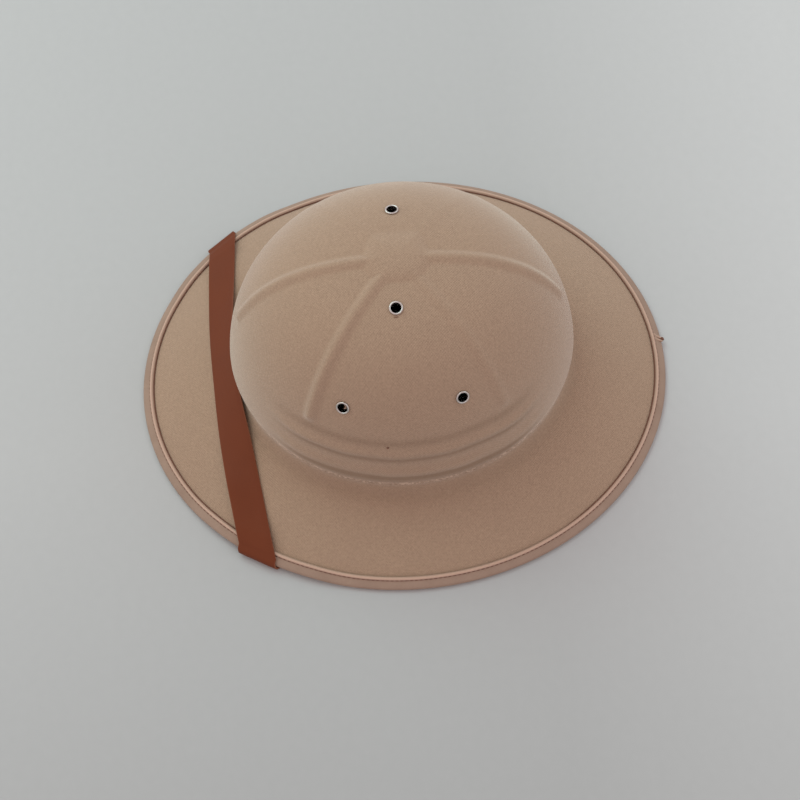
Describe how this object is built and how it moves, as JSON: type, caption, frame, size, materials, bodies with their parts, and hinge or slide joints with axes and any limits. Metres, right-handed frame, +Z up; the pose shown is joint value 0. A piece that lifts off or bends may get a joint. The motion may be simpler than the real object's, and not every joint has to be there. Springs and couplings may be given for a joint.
{
  "type": "pith helmet",
  "caption": "Cloth-covered pith helmet with a ribbed dome crown, oval sloping brim with bound edge, metal eyelets and a brown chin strap worn over the brim.",
  "frame": {"origin": "centre of the bounding box, on the plane that the brim rests on", "axes": "+Z up through the crown; -Y towards the front of the hat, where the strap lies; +X towards the wearer's left"},
  "size_m": [0.2868, 0.33, 0.1446],
  "materials": {
    "cloth": "fine matt plain weave over moulded foam",
    "edge_tape": "matt folded tape, stitched",
    "leathercloth": "smooth satin",
    "plated_metal": "bright nickel plate"
  },
  "bodies": {
    "root": {"crown": "cloth", "brim": "cloth", "brim_binding": "edge_tape", "chin_strap": "leathercloth", "eyelet_left_upper": "plated_metal", "eyelet_left_front": "plated_metal", "eyelet_left_rear": "plated_metal", "eyelet_right_upper": "plated_metal", "eyelet_right_front": "plated_metal", "eyelet_right_rear": "plated_metal"}
  },
  "joints": []
}
